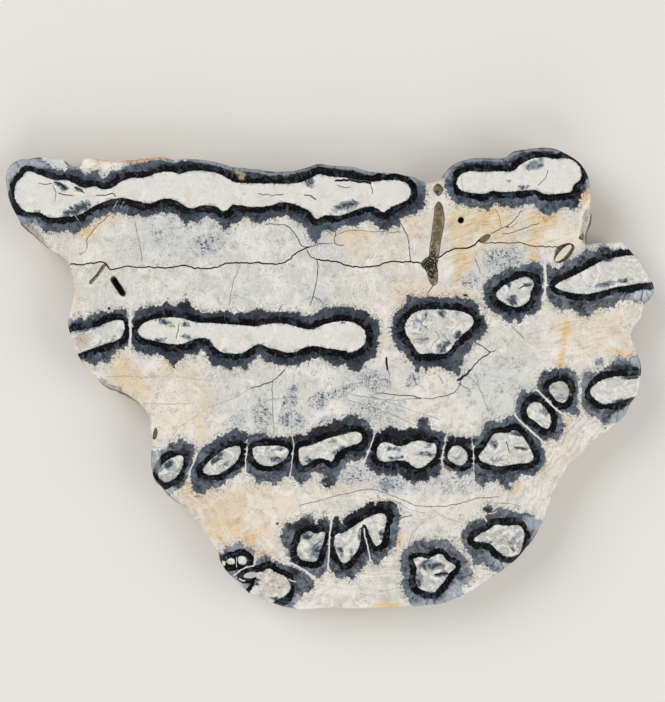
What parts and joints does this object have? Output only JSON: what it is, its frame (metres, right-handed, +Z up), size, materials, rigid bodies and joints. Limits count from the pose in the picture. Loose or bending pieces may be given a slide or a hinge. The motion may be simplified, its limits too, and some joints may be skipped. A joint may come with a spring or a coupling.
{
  "type": "fossil mammoth molar slice",
  "caption": "Thin cross-section of a fossil mammoth molar, polished on its face and lying flat, with dark folded enamel loops round pale dentine in cream cementum.",
  "frame": {"origin": "under the middle of the slice, on the surface that it lies on", "axes": "+X along the slice's longest extent, towards the pointed horn on the right side, +Y towards the crown edge, +Z up out of the polished face"},
  "size_m": [0.1, 0.0713, 0.008],
  "materials": {
    "fossil_tooth": "satin polish on the face, sawn matt back, rough natural rind round the edge"
  },
  "bodies": {
    "root": {"molar_slice": "fossil_tooth"}
  },
  "joints": []
}
